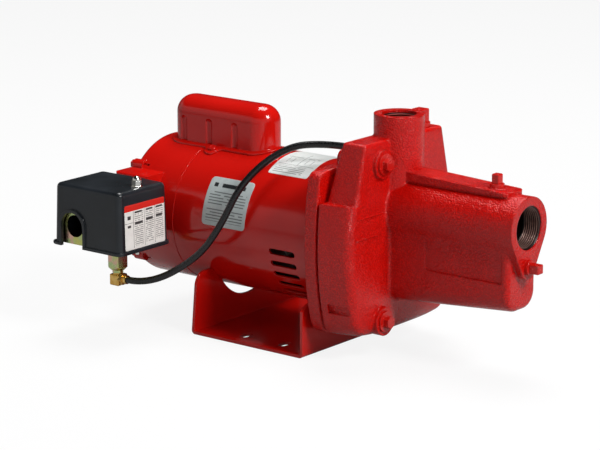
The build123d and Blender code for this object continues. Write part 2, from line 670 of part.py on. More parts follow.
def switch_cover():
    cover = switch_block(0)
    cover = rounded(cover, edges_in(cover, z=(SWITCH_Z1 - 0.1, SWITCH_Z1 + 0.1)), 5)
    x, y = (SWITCH_X0 + SWITCH_X1) / 2, (SWITCH_Y0 + SWITCH_Y1) / 2
    lip = RectangleRounded(SWITCH_LENGTH + 3, SWITCH_DEPTH + 3, SWITCH_CORNER + 1)
    cover += extrude(Pos(x, y, SWITCH_Z0) * lip, 3)
    rim = switch_arch(SWITCH_Y0 - 1.2, SWITCH_Y0 + 6, ARCH_R + ARCH_RIM)
    cover += rim & box(SWITCH_X0, SWITCH_X1, SWITCH_Y0 - 5, SWITCH_Y1, SWITCH_Z0, SWITCH_Z1)
    cover -= switch_block(SWITCH_WALL)
    cover -= Pos(0, 0, -5) * switch_block(SWITCH_WALL)
    cover -= switch_arch(SWITCH_Y0 - 5, SWITCH_Y0 + 10, ARCH_R)
    cover -= switch_arch(SWITCH_Y1 - 10, SWITCH_Y1 + 5, ARCH_R)
    return cover - rod((STUD_X, STUD_Y, SWITCH_Z1 - 10), (0, 0, 1), STUD_R + 0.8, 20)


def switch_plate():
    """Plated frame: a floor with two upright ears that carry the conduit holes."""
    x0, x1 = SWITCH_X0 + 3, SWITCH_X1 - 3
    y0, y1 = SWITCH_Y0 + PLATE_INSET, SWITCH_Y1 - PLATE_INSET
    floor = Pos((x0 + x1) / 2, (y0 + y1) / 2, PLATE_Z) * RectangleRounded(x1 - x0, y1 - y0, 8)
    frame = extrude(floor, PLATE_THICK)
    for y in (y0, y1 - PLATE_THICK):
        frame += box(CONDUIT_X - 17, CONDUIT_X + 20, y, y + PLATE_THICK, PLATE_Z, CONDUIT_Z + 19.5)
        frame -= rod((CONDUIT_X, y - 1, CONDUIT_Z), (0, 1, 0), CONDUIT_R, PLATE_THICK + 2)
    return frame - rod((STUD_X, STUD_Y, SWITCH_Z0), (0, 0, 1), STUD_R + SEAT, 6)


def switch_stud():
    """Long stud from under the frame to the acorn nut, with its lower nut."""
    z0 = PLATE_Z - 8
    stud = rod((STUD_X, STUD_Y, z0), (0, 0, 1), STUD_R, SWITCH_Z1 + 5 - z0)
    return stud + hexagon((STUD_X, STUD_Y, PLATE_Z - 4.1), (0, 0, 1), 8, 4)


def acorn_nut():
    nut = hexagon((STUD_X, STUD_Y, SWITCH_Z1), (0, 0, 1), NUT_FLATS, NUT_HEIGHT)
    nut += Pos(STUD_X, STUD_Y, SWITCH_Z1 + NUT_HEIGHT) * Sphere(NUT_FLATS / 2 - 0.2)
    nut += rod((STUD_X, STUD_Y, SWITCH_Z1), (0, 0, 1), 6, 1)
    return nut - rod((STUD_X, STUD_Y, SWITCH_Z1 - 1), (0, 0, 1), STUD_R + SEAT, NUT_HEIGHT + 1)


def contact_block():
    length, depth, height = CONTACT_SIZE
    place = Pos(STEM_X + 6.5, STEM_Y - 1, PLATE_Z + PLATE_THICK + height / 2)
    return place * Box(length, depth, height)


def diaphragm_housing():
    """Shallow cup under the frame, over the sensing port."""
    cup = rod((STEM_X, STEM_Y, HEX_TOP), (0, 0, 1), CUP_R, PLATE_Z - HEX_TOP)
    return rounded(cup, edges_in(cup, z=(HEX_TOP - 0.1, HEX_TOP + 0.1)), 1.5)


def hex_fitting():
    """Hex bush with a bevelled lower end and a short neck."""
    fitting = hexagon((STEM_X, STEM_Y, HEX_BOTTOM), (0, 0, 1), HEX_FLATS, HEX_TOP - HEX_BOTTOM, 15)
    cone = Pos(STEM_X, STEM_Y, HEX_BOTTOM) * Cone(
        7, 14, 7, align=(Align.CENTER, Align.CENTER, Align.MIN))
    body = cone + rod((STEM_X, STEM_Y, HEX_BOTTOM + 7), (0, 0, 1), 14, 30)
    return (fitting & body) + rod((STEM_X, STEM_Y, HEX_BOTTOM - 3), (0, 0, 1), NECK_R, 6)


def brass_elbow():
    """Forged street elbow: a square body, a neck up and a hex outlet towards the pump."""
    body = box(STEM_X - 6.5, STEM_X + 5.5, STEM_Y - 6, STEM_Y + 6, ELBOW_Z - 7, ELBOW_Z + 4.5)
    body = chamfer(body.edges(), 1)
    body += rod((STEM_X, STEM_Y, ELBOW_Z), (0, 0, 1), 5, HEX_BOTTOM - 3 - ELBOW_Z)
    body += hexagon((STEM_X + 4, STEM_Y, ELBOW_Z), (1, 0, 0), 11, 5, 30)
    return body + rod((STEM_X, STEM_Y, ELBOW_Z), (1, 0, 0), 4.5, TUBE_ROUTE[0][0] - STEM_X)


def conduit_nipple():
    """Short threaded nipple with locknuts that carries the switch on the motor."""
    y0, y1 = SWITCH_Y1 - PLATE_INSET, TERMINAL_Y + 8
    pipe = rod((CONDUIT_X, y0 - 6, CONDUIT_Z), (0, 1, 0), CONDUIT_R - 1 - SEAT, y1 - y0 + 6)
    pipe += hexagon((CONDUIT_X, y0, CONDUIT_Z), (0, 1, 0), NIPPLE_FLATS, TERMINAL_Y - y0)
    pipe += hexagon((CONDUIT_X, y0 - PLATE_THICK - 3, CONDUIT_Z), (0, 1, 0), NIPPLE_FLATS, 3)
    return pipe - rod((CONDUIT_X, y0 - 20, CONDUIT_Z), (0, 1, 0), 7.8, 60)


# Sensing tube

def bend_radii(points):
    """Radius at each inner point: 0.45 of the shorter run over the tangent of half the turn."""
    radii = []
    for a, b, c in zip(points, points[1:], points[2:]):
        first, second = Vector(b) - Vector(a), Vector(c) - Vector(b)
        turn = math.radians(first.get_angle(second))
        radii.append(0.45 * min(first.length, second.length) / math.tan(turn / 2))
    return radii


def sensing_tube():
    radii = bend_radii(TUBE_ROUTE)
    print("tube radii", [round(r, 1) for r in radii])
    path = FilletPolyline(*TUBE_ROUTE, radius=radii)
    tube = sweep(Plane(origin=TUBE_ROUTE[0], z_dir=(1, 0, 0)) * Circle(TUBE_R), path=path)
    print("tube length", round(path.length, 1), "volume ratio",
          round(tube.volume / (math.pi * TUBE_R ** 2 * path.length), 4))
    return tube


def pump_barb():
    """Hex fitting on the rear of the priming chamber that takes the tube."""
    x, y, z = TUBE_ROUTE[-1]
    fitting = hexagon((x, y, z), (1, 0, 0), BARB_FLATS, BARB_HEX)
    return fitting + rod((x + BARB_HEX, y, z), (1, 0, 0), BARB_R, BARB_END - x - BARB_HEX)


save(motor_shell(), "motor_shell")
save(stator_core(), "stator_core")
save(winding(STATOR_X1), "winding_front")
save(winding(STATOR_X0 - END_TURN), "winding_rear")
save(rotor_and_shaft(), "rotor_shaft")
save(front_end_bell(), "front_end_bell")
save(rear_end_bell(), "rear_end_bell")
save(rear_cover(), "rear_cover")
save(Compound(children=[rear_cover_screw(a) for a in (90, 270)]), "rear_cover_screws")
save(Compound(children=[through_bolt(a) for a in EAR_ANGLES]), "through_bolts")
save(capacitor_cover(), "capacitor_cover")
save(Compound(children=cap_screws(SCREW_R, 2.4)), "capacitor_cover_screws")
save(start_capacitor(), "start_capacitor")
save(base_bracket(), "base_bracket")
save(Compound(children=[base_bolt(y) for y in (-BASE_BOLT_Y, BASE_BOLT_Y)]), "base_bolts")
save(mounting_ring(), "mounting_ring")
save(seal_plate(), "seal_plate")
save(pump_casing(), "pump_casing")
save(Compound(children=[casing_bolt(y, z) for y, z in bolt_places()]), "casing_bolts")
save(square_plug((PRIME_X, PRIME_Y, BLOCK_TOP), (0, 0, 1), 10, 13, PRIME_HEIGHT), "priming_plug")
save(square_plug((GAUGE_X, 0, GAUGE_Z), (0, 0, 1), 7, 8, GAUGE_HEIGHT), "gauge_plug")
save(square_plug((SUCTION_X, 0, PLUG_Z), (1, 0, 0), 7.5, 9, CLEAN_HEIGHT), "cleaning_plug")
save(switch_cover(), "switch_cover")
save(switch_plate(), "switch_plate")
save(switch_stud(), "switch_stud")
save(acorn_nut(), "acorn_nut")
save(contact_block(), "contact_block")
save(diaphragm_housing(), "diaphragm_housing")
save(hex_fitting(), "hex_fitting")
save(brass_elbow(), "brass_elbow")
save(conduit_nipple(), "conduit_nipple")
save(sensing_tube(), "sensing_tube")
save(pump_barb(), "pump_barb")
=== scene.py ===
import json
import math
from functools import partial

import bmesh
import bpy
import numpy as np
from mathutils import Matrix, Vector


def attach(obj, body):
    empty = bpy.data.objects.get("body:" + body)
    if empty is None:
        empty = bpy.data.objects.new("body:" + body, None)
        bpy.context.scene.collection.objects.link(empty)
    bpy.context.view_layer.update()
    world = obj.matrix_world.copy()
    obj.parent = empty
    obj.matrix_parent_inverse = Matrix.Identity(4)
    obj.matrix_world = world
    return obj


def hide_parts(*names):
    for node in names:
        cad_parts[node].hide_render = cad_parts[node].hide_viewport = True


# Shallow-well jet pump, in the same frame as the solids: +X along the shaft towards the suction
# port, +Z up, the pressure switch on the -Y side. The pump's own sizes are in millimetres here and
# become metres in the meshes; the camera, the tube's route, the lamps and the floor are in metres.

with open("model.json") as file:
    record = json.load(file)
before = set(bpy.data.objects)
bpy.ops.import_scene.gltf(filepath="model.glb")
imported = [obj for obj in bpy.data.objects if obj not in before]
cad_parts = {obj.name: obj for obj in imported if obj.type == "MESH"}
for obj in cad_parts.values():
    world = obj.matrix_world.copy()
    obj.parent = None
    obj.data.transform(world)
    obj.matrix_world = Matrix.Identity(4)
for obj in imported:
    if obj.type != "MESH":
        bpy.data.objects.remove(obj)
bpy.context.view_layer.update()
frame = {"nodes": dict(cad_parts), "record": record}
nodes = frame["nodes"]
MM = 0.001

# Places on the pump, as the solids have them
AXIS_Z = 107.8
SHELL_R = 72.3
OUTLET_X, OUTLET_TOP, OUTLET_BORE = 122.4, 236.3, 16.7
SUCTION_Z, SUCTION_X, SUCTION_BORE = 145.6, 273.8, 21.1
CASING_FACE = 129.2
SWITCH_X0, SWITCH_X1, SWITCH_Y0, SWITCH_Z0 = -187.7, -98.3, -159.3, 89.8
SWITCH_LEAN = 1.5 / 63                  # how far its sides lean in per millimetre of height

# Pipe threads, 11.5 to the inch on both ports
THREAD_PITCH = 2.209
THREAD_DEPTH = 1.75
THREAD_TAPER = 0.06                     # of the diameter per millimetre of depth
THREAD_RUN_IN, THREAD_RUN_OUT = 1.5, 4.0
SLEEVE_GAP, SLEEVE_SUNK = 0.02, 0.3     # inside the bore, and its back wall into the casting

# Mould seams on the casing's face: height, end on the switch's side, end towards the shaft
MOULD_SEAMS = ((145.4, -76.0, -33.0), (125.2, -78.0, -37.0))
SEAM_R, SEAM_OUT = 1.3, 0.2

KNOB_R = 2.7                            # knob at the foot of the switch cover
KNOB_IN = (1.4, 1.5, 1.9)

# Labels
SIDE_LABEL, TOP_LABEL, SWITCH_LABEL = (55, 50), (49, 62), (58.5, 45.3)
SWITCH_LABEL_Y, SWITCH_LABEL_UP = -121.7, 26.4
LABEL_SUNK = 0.5                        # how far a label's back lies inside the surface


# Camera: the photograph's viewing angle and framing

def set_camera(azimuth, elevation, place, lens):
    """Long lens looking down a little at the pump from its front left."""
    a, e = math.radians(azimuth), math.radians(elevation)
    right = Vector((math.cos(a), math.sin(a), 0))
    back = Vector((math.sin(a) * math.cos(e), -math.cos(a) * math.cos(e), math.sin(e)))
    turn = Matrix((right, back.cross(right), back)).transposed().to_4x4()
    data = bpy.data.cameras.new("studio_camera")
    data.lens, data.sensor_width, data.clip_end = lens, 36.0, 60.0
    camera = bpy.data.objects.new("studio_camera", data)
    bpy.context.scene.collection.objects.link(camera)
    camera.matrix_world = Matrix.Translation(place) @ turn
    bpy.context.scene.camera = camera


set_camera(azimuth=38.5, elevation=13.8, place=(1.5369, -1.9317, 0.7131), lens=152.1)
bpy.context.scene.view_settings.view_transform = "Standard"


# Nodes of a material: one function adds any of them

MIX = {"data_type": "RGBA", "output": 2}            # a Mix node's colours are its sockets 6 and 7
MIDDLE = {"From Min": 0.3, "From Max": 0.7}         # the range that most of a noise stays in


def fill(node, sockets):
    """Fills a node's sockets: an output is linked in, anything else is set on the socket itself."""
    for key, value in sockets.items():
        if isinstance(value, bpy.types.NodeSocket):
            node.id_data.links.new(value, node.inputs[key])
        else:
            node.inputs[key].default_value = value


def add_node(tree, kind, sockets=None, output=0, **settings):
    """Adds a node with its properties and sockets, and returns one of its outputs."""
    node = tree.nodes.new(kind)
    for name, value in settings.items():
        setattr(node, name, value)
    fill(node, sockets or {})
    return node.outputs[output]


def colour(code):
    """Linear colour from an sRGB hex code such as #C81410."""
    c = np.array([int(code[k:k + 2], 16) for k in (1, 3, 5)]) / 255
    return (*np.where(c <= 0.04045, c / 12.92, ((c + 0.055) / 1.055) ** 2.4), 1.0)


def new_material(name):
    """Material, its shader, its Object coordinates in metres, and add_node bound to its tree."""
    material = bpy.data.materials.new(name)
    material.use_nodes = True
    tree = material.node_tree
    add = partial(add_node, tree)
    return material, tree.nodes["Principled BSDF"], add("ShaderNodeTexCoord", output="Object"), add


def worn_edges(add, at, radius, patch):
    """Normal rounded over the edges by a radius, and a mask of worn spots: 1 where an edge is sharp
    and a coarse noise agrees, 0 elsewhere. An edge is where the rounded normal leaves the face's."""
    soft = add("ShaderNodeBevel", {"Radius": radius * MM}, samples=6)
    own = add("ShaderNodeNewGeometry", output="Normal")
    turned = add("ShaderNodeVectorMath", {0: soft, 1: own}, "Value", operation="DOT_PRODUCT")
    edge = add("ShaderNodeMapRange", {"Value": turned, "From Min": 0.97, "From Max": 0.80})
    spots = add("ShaderNodeTexNoise", {"Vector": at, "Scale": 1 / (patch * MM), "Detail": 4.0})
    chosen = add("ShaderNodeMapRange", {"Value": spots, "From Min": 0.60, "From Max": 0.66})
    return soft, add("ShaderNodeMath", {0: edge, 1: chosen}, operation="MULTIPLY")


# Finishes

def enamel_on_iron():
    """Gloss enamel sprayed over sand-cast grey iron: the 1 to 2 mm sand grain shows through the
    paint as small bright specks, and the mould's unevenness bends long reflections. The paint lies
    thin on the grain, so it mirrors less than it does on sheet, and pools darker in the pits."""
    material, shader, at, add = new_material("gloss_enamel_on_sand_cast_iron")
    soft, bare = worn_edges(add, at, 2.2, 8)
    grain = add("ShaderNodeTexNoise", {"Vector": at, "Scale": 1 / (1.3 * MM), "Detail": 2.0,
                                       "Roughness": 0.55})
    pebbles = add("ShaderNodeTexVoronoi", {"Vector": at, "Scale": 1 / (1.8 * MM), "Smoothness": 0.4},
                  feature="SMOOTH_F1")
    uneven = add("ShaderNodeTexNoise", {"Vector": at, "Scale": 1 / (18 * MM), "Detail": 2.0})
    fade = add("ShaderNodeTexNoise", {"Vector": at, "Scale": 1 / (36 * MM), "Detail": 1.0})
    strength = add("ShaderNodeMapRange", {"Value": fade, "From Min": 0.35, "From Max": 0.65, "To Min": 0.65})
    relief = add("ShaderNodeMath", {0: grain, 1: pebbles}, operation="SUBTRACT")
    fine = add("ShaderNodeMath", {0: relief, 1: strength}, operation="MULTIPLY")
    grained = add("ShaderNodeBump", {"Height": fine, "Distance": 0.75 * MM, "Normal": soft})
    waved = add("ShaderNodeBump", {"Height": uneven, "Distance": 1.4 * MM, "Normal": grained})
    drift = add("ShaderNodeMapRange", {"Value": fade, **MIDDLE})
    thin = add("ShaderNodeMix", {0: drift, 6: colour("#D00E07"), 7: colour("#DB120A")}, **MIX)
    on_top = add("ShaderNodeMapRange", {"Value": fine, "From Min": -0.08, "From Max": 0.24})
    red = add("ShaderNodeMix", {0: on_top, 6: colour("#BA0A05"), 7: thin}, **MIX)
    shade = add("ShaderNodeMix", {0: bare, 6: red, 7: colour("#7D2019")}, **MIX)
    rough = add("ShaderNodeMapRange", {"Value": uneven, **MIDDLE, "To Min": 0.08, "To Max": 0.14})
    fill(shader, {"Base Color": shade, "Roughness": rough, "Normal": waved, "IOR": 1.5,
                  "Specular IOR Level": 0.36})
    return material


def enamel_on_sheet():
    """Gloss enamel sprayed over rolled and drawn steel: almost a mirror, with 3 mm orange peel and
    the slow waves of rolled sheet that bend the reflections."""
    material, shader, at, add = new_material("gloss_enamel_on_rolled_sheet")
    soft, bare = worn_edges(add, at, 0.8, 6)
    peel = add("ShaderNodeTexNoise", {"Vector": at, "Scale": 1 / (3 * MM), "Detail": 1.0})
    waves = add("ShaderNodeTexNoise", {"Vector": at, "Scale": 1 / (60 * MM), "Detail": 1.0})
    peeled = add("ShaderNodeBump", {"Height": peel, "Distance": 0.035 * MM, "Normal": soft})
    waved = add("ShaderNodeBump", {"Height": waves, "Distance": 0.9 * MM, "Normal": peeled})
    drift = add("ShaderNodeMapRange", {"Value": waves, **MIDDLE})
    red = add("ShaderNodeMix", {0: drift, 6: colour("#C41009"), 7: colour("#CC130B")}, **MIX)
    shade = add("ShaderNodeMix", {0: bare, 6: red, 7: colour("#6E2822")}, **MIX)
    rough = add("ShaderNodeMapRange", {"Value": waves, **MIDDLE, "To Min": 0.10, "To Max": 0.17})
    fill(shader, {"Base Color": shade, "Roughness": rough, "Normal": waved, "IOR": 1.5})
    return material


def enamel_on_hardware():
    """The same enamel over bolts and plugs: thick in the corners, knocked off a little at the edges
    where a spanner has been."""
    material, shader, at, add = new_material("gloss_enamel_on_steel_hardware")
    soft, bare = worn_edges(add, at, 0.7, 2.4)
    lumps = add("ShaderNodeTexNoise", {"Vector": at, "Scale": 1 / (3.8 * MM), "Detail": 2.0})
    lumpy = add("ShaderNodeBump", {"Height": lumps, "Distance": 0.25 * MM, "Normal": soft})
    drift = add("ShaderNodeMapRange", {"Value": lumps, **MIDDLE})
    red = add("ShaderNodeMix", {0: drift, 6: colour("#B80F09"), 7: colour("#C8150D")}, **MIX)
    shade = add("ShaderNodeMix", {0: bare, 6: red, 7: colour("#8C6A60")}, **MIX)
    rough = add("ShaderNodeMapRange", {"Value": lumps, **MIDDLE, "To Min": 0.16, "To Max": 0.30})
    fill(shader, {"Base Color": shade, "Roughness": rough, "Normal": lumpy, "IOR": 1.5})
    return material


def moulded_cover():
    """Satin black moulded plastic with a fine spark-eroded grain, drawn at 1 mm so that it shows,
    over the slow sink of a moulded wall."""
    material, shader, at, add = new_material("satin_black_moulded_plastic")
    soft, rubbed = worn_edges(add, at, 0.8, 11)
    grain = add("ShaderNodeTexNoise", {"Vector": at, "Scale": 1 / (1 * MM), "Detail": 2.0})
    sink = add("ShaderNodeTexNoise", {"Vector": at, "Scale": 1 / (33 * MM)})
    grained = add("ShaderNodeBump", {"Height": grain, "Distance": 0.05 * MM, "Normal": soft})
    sunk = add("ShaderNodeBump", {"Height": sink, "Distance": 0.35 * MM, "Normal": grained})
    drift = add("ShaderNodeMapRange", {"Value": sink, **MIDDLE})
    black = add("ShaderNodeMix", {0: drift, 6: colour("#181C20"), 7: colour("#1F242A")}, **MIX)
    shade = add("ShaderNodeMix", {0: rubbed, 6: black, 7: colour("#3A3C40")}, **MIX)
    rough = add("ShaderNodeMapRange", {"Value": sink, **MIDDLE, "To Min": 0.27, "To Max": 0.36})
    fill(shader, {"Base Color": shade, "Roughness": rough, "Normal": sunk, "IOR": 1.5})
    return material


def plated(name, shades, patch, rough, depth):
    """Plated or plain metal: three shades drift over it in patches, and drawing marks give it a
    faint grain. The marks are finer than 0.1 mm and are drawn at 1.1 mm so that they show."""
    material, shader, at, add = new_material(name)
    drift = add("ShaderNodeTexNoise", {"Vector": at, "Scale": 1 / (patch * MM), "Detail": 3.0})
    tint = add("ShaderNodeTexNoise", {"Vector": at, "Scale": 1.7 / (patch * MM), "Detail": 1.0},
               noise_dimensions="4D")
    marks = add("ShaderNodeTexNoise", {"Vector": at, "Scale": 1 / (1.1 * MM), "Detail": 2.0})
    soft = add("ShaderNodeBevel", {"Radius": 0.3 * MM}, samples=6)
    marked = add("ShaderNodeBump", {"Height": marks, "Distance": depth * MM, "Normal": soft})
    halves = add("ShaderNodeMapRange", {"Value": drift, "From Min": 0.4, "From Max": 0.6})
    first = add("ShaderNodeMix", {0: halves, 6: colour(shades[0]), 7: colour(shades[1])}, **MIX)
    tinted = add("ShaderNodeMapRange", {"Value": tint, "From Min": 0.48, "From Max": 0.62})
    shade = add("ShaderNodeMix", {0: tinted, 6: first, 7: colour(shades[2])}, **MIX)
    dull = add("ShaderNodeMapRange", {"Value": drift, **MIDDLE, "To Min": rough[0], "To Max": rough[1]})
    fill(shader, {"Base Color": shade, "Roughness": dull, "Normal": marked, "Metallic": 1.0})
    return material


def dull_black(name, shades, rough, size):
    """Rubber, nylon or phenolic: near black, with a fine even grain, drawn at 1.4 to 2.5 mm so that
    it shows."""
    material, shader, at, add = new_material(name)
    grain = add("ShaderNodeTexNoise", {"Vector": at, "Scale": 1 / (size * MM), "Detail": 3.0})
    grained = add("ShaderNodeBump", {"Height": grain, "Distance": 0.06 * MM})
    drift = add("ShaderNodeMapRange", {"Value": grain, "From Min": 0.35, "From Max": 0.65})
    shade = add("ShaderNodeMix", {0: drift, 6: colour(shades[0]), 7: colour(shades[1])}, **MIX)
    dull = add("ShaderNodeMapRange", {"Value": grain, **MIDDLE, "To Min": rough[0], "To Max": rough[1]})
    fill(shader, {"Base Color": shade, "Roughness": dull, "Normal": grained, "IOR": 1.5})
    return material


def layered(name, shades, period, metallic, rough):
    """Stacked laminations or wound wire: bands across the shaft, one for two or three real layers
    so that they show."""
    material, shader, at, add = new_material(name)
    scale = 2 * math.pi / (20 * period * MM)
    bands = add("ShaderNodeTexWave", {"Vector": at, "Scale": scale, "Distortion": 0.6, "Detail": 1.0}, "Fac",
                bands_direction="X")
    ridged = add("ShaderNodeBump", {"Height": bands, "Distance": 0.3 * MM})
    shade = add("ShaderNodeMix", {0: bands, 6: colour(shades[0]), 7: colour(shades[1])}, **MIX)
    dull = add("ShaderNodeMapRange", {"Value": bands, "To Min": rough, "To Max": rough + 0.15})
    fill(shader, {"Base Color": shade, "Roughness": dull, "Normal": ridged, "Metallic": metallic})
    return material


def cut_thread(name, crest, painted_groove_shade):
    """Pipe thread cut in iron, under oil. The crests show the cut metal; the grooves and the plain
    wall beyond the thread are painted near black, as painted shade for the shade deep in a port.
    """
    material, shader, at, add = new_material(name)
    plan = add("ShaderNodeUVMap", uv_map="plan")
    height = add("ShaderNodeSeparateXYZ", {"Vector": plan}, "Y")
    smear = add("ShaderNodeTexNoise", {"Vector": at, "Scale": 1 / (6 * MM), "Detail": 2.0})
    drift = add("ShaderNodeMapRange", {"Value": smear, "From Min": 0.35, "From Max": 0.65})
    rubbed = add("ShaderNodeMix", {0: drift, 6: colour(crest[0]), 7: colour(crest[1])}, **MIX)
    # Painted shade: near black where the plan's height is low, in the grooves and beyond the thread
    clear_of_painted_shade = add("ShaderNodeMapRange", {"Value": height, "From Min": 0.35, "From Max": 0.9})
    shade = add("ShaderNodeMix", {0: clear_of_painted_shade, 6: colour(painted_groove_shade), 7: rubbed}, **MIX)
    rough = add("ShaderNodeMapRange", {"Value": smear, **MIDDLE, "To Min": 0.28, "To Max": 0.42})
    fill(shader, {"Base Color": shade, "Roughness": rough, "Metallic": 0.4})
    return material


FINISH = {
    "red_casting": enamel_on_iron(),
    "red_sheet": enamel_on_sheet(),
    "red_hardware": enamel_on_hardware(),
    "gasket_black": dull_black("black_seal_rubber", ("#0E0E0E", "#161616"), (0.6, 0.8), 2),
    "cover_black": moulded_cover(),
    "tube_black": dull_black("black_nylon_tube", ("#0D0D0E", "#131315"), (0.24, 0.34), 1.4),
    "zinc_yellow": plated("yellow_chromate_on_zinc", ("#CBCB74", "#B4C790", "#E0B4A0"), 17, (0.20, 0.30),
                          0.010),
    "zinc_bright": plated("bright_zinc_plate", ("#D6D6D2", "#C4C6C6", "#E2DFD4"), 11, (0.08, 0.16), 0.008),
    "brass": plated("machined_brass", ("#D8AC5C", "#CDA052", "#DFB96C"), 14, (0.14, 0.22), 0.006),
    "lamination": layered("stacked_core_steel", ("#1C1C1E", "#333335"), 1.0, 1.0, 0.45),
    "copper_winding": layered("varnished_copper_wire", ("#26120A", "#45240F"), 1.5, 0.3, 0.40),
    "steel": plated("turned_shaft_steel", ("#8F9092", "#A3A4A6", "#9A9588"), 8, (0.25, 0.38), 0.04),
    "phenolic": dull_black("dark_phenolic", ("#1C1613", "#261F1A"), (0.45, 0.6), 2.5),
}
# Both thread finishes paint their grooves and the wall beyond near black as painted shade.
OILED_THREAD = cut_thread("oiled_cut_iron_thread_with_painted_shade", ("#8A6A60", "#6E4A42"), "#120B09")
PAINTED_THREAD = cut_thread("cut_iron_thread_with_paint_mist_and_painted_shade", ("#B0463C", "#8E2F28"), "#230B09")

slot_of = {row["node"]: row["material_slot"] for row in frame["record"]["subparts"]}
for name, node in nodes.items():
    node.data.materials.clear()
    node.data.materials.append(FINISH[slot_of[name]])


# Pieces: one function turns a grid of points into a closed mesh

def surface(name, points, material, wrap=(False, True), uv=None):
    """Mesh over a grid of points in millimetres, rows by columns, with its ends joined where wrap
    says so. Rows that shrink to one point become poles."""
    rows, cols = points.shape[:2]
    index = np.arange(rows * cols).reshape(rows, cols)
    if wrap[0]:
        index = np.vstack([index, index[:1]])
    if wrap[1]:
        index = np.hstack([index, index[:, :1]])
    quads = np.stack([index[:-1, :-1], index[:-1, 1:], index[1:, 1:], index[1:, :-1]], -1).reshape(-1, 4)
    mesh = bpy.data.meshes.new(name)
    mesh.from_pydata((points.reshape(-1, 3) * MM).tolist(), [], quads.tolist())
    if uv is not None:
        layer = mesh.uv_layers.new(name="plan")
        layer.data.foreach_set("uv", uv.reshape(-1, 2)[quads.reshape(-1)].ravel())
    shell = bmesh.new()
    shell.from_mesh(mesh)
    bmesh.ops.remove_doubles(shell, verts=shell.verts, dist=1e-7)
    bmesh.ops.recalc_face_normals(shell, faces=shell.faces)
    shell.to_mesh(mesh)
    shell.free()
    mesh.polygons.foreach_set("use_smooth", np.ones(len(mesh.polygons), bool))
    mesh.materials.append(material)
    piece = bpy.data.objects.new(name, mesh)
    bpy.context.scene.collection.objects.link(piece)
    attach(piece, "root")
    return piece


def frame_of(axis):
    """Three unit vectors: two across the axis and the axis itself."""
    along = np.array(axis, float) / np.linalg.norm(axis)
    side = np.cross(along, (0.0, 0.0, 1.0))
    side = np.array((1.0, 0.0, 0.0)) if np.linalg.norm(side) < 0.1 else side / np.linalg.norm(side)
    return side, np.cross(along, side), along


# Sensing tube, from the elbow under the switch to the fitting behind the priming chamber

TUBE_ROUTE = [
    (-0.1266, -0.1180, 0.0535),
    (-0.0976, -0.1180, 0.0535),
    (-0.0536, -0.0970, 0.0823),
    (-0.0256, -0.0930, 0.1183),
    (-0.0136, -0.0740, 0.1628),
    (0.0089, -0.0335, 0.1943),
    (0.0454, -0.0130, 0.1985),
    (0.0784, -0.0130, 0.1985),
]


def sensing_tube():
    """Round tube along a smooth curve drawn through the span of its route points."""
    curve = bpy.data.curves.new("sensing_tube_line", "CURVE")
    curve.dimensions = "3D"
    curve.bevel_depth, curve.bevel_resolution, curve.use_fill_caps = 3.5 * MM, 6, True
    line = curve.splines.new("NURBS")
    line.points.add(len(TUBE_ROUTE) - 1)
    for point, place in zip(line.points, TUBE_ROUTE):
        point.co = (*place, 1.0)
    line.order_u, line.use_endpoint_u, line.resolution_u = 3, True, 24
    curve.materials.append(FINISH["tube_black"])
    tube = bpy.data.objects.new("sensing_tube_line", curve)
    bpy.context.scene.collection.objects.link(tube)
    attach(tube, "root")
    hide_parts("sensing_tube")


sensing_tube()


# Pipe threads in the two ports

def port_thread(name, mouth, axis, bore, length, threaded, lip, material):
    """Sleeve in a port, below a painted lip. Round it runs the angle; along it the surface goes down
    the thread, on over the plain wall behind it, which the finish paints near black as painted
    shade for the deep port, and back up just inside the casting: radius = root - taper - depth x
    sharp ridge of (distance / pitch - angle), which fades in at the mouth and out where the thread
    ends."""
    side, other, along = frame_of(axis)
    columns, rows_per_turn = 96, 12
    angle = np.linspace(0, 2 * np.pi, columns, endpoint=False)
    reach = np.linspace(lip, length, int(length / THREAD_PITCH * rows_per_turn))[:, None]
    phase = (reach / THREAD_PITCH - angle / (2 * np.pi)) % 1
    tooth = np.clip(1.10 - np.abs(phase * 2 - 1) * 1.25, 0, 1)
    fade = np.clip((reach - lip) / THREAD_RUN_IN, 0, 1) * np.clip((threaded - reach) / THREAD_RUN_OUT, 0, 1)
    root = bore - SLEEVE_GAP - THREAD_TAPER * reach / 2
    radius = root - THREAD_DEPTH * tooth * fade
    depth = np.broadcast_to(reach, radius.shape)
    back_wall = np.full((2, columns), bore + SLEEVE_SUNK)
    radius = np.vstack([radius, back_wall])[..., None]
    depth = np.vstack([depth, np.full((1, columns), length), np.full((1, columns), lip)])[..., None]
    points = np.array(mouth, float) - depth * along + radius * (
        np.cos(angle)[:, None] * side + np.sin(angle)[:, None] * other)
    # The plan's height is 0 on the wall beyond the thread, which the finish paints near black as painted
    # shade.
    height = np.vstack([tooth * fade, np.zeros((2, columns))])
    plan = np.stack([np.broadcast_to(angle / (2 * np.pi), height.shape), height], -1)
    piece = surface(name, points, material, wrap=(True, True), uv=plan)


port_thread("suction_thread", (SUCTION_X, 0, SUCTION_Z), (1, 0, 0), SUCTION_BORE,
            length=46, threaded=21, lip=1.2, material=OILED_THREAD)
port_thread("discharge_thread", (OUTLET_X, 0, OUTLET_TOP), (0, 0, 1), OUTLET_BORE,
            length=34, threaded=24, lip=2.6, material=PAINTED_THREAD)


# Small forms: mould seams on the casing's face, and the foot of the switch cover

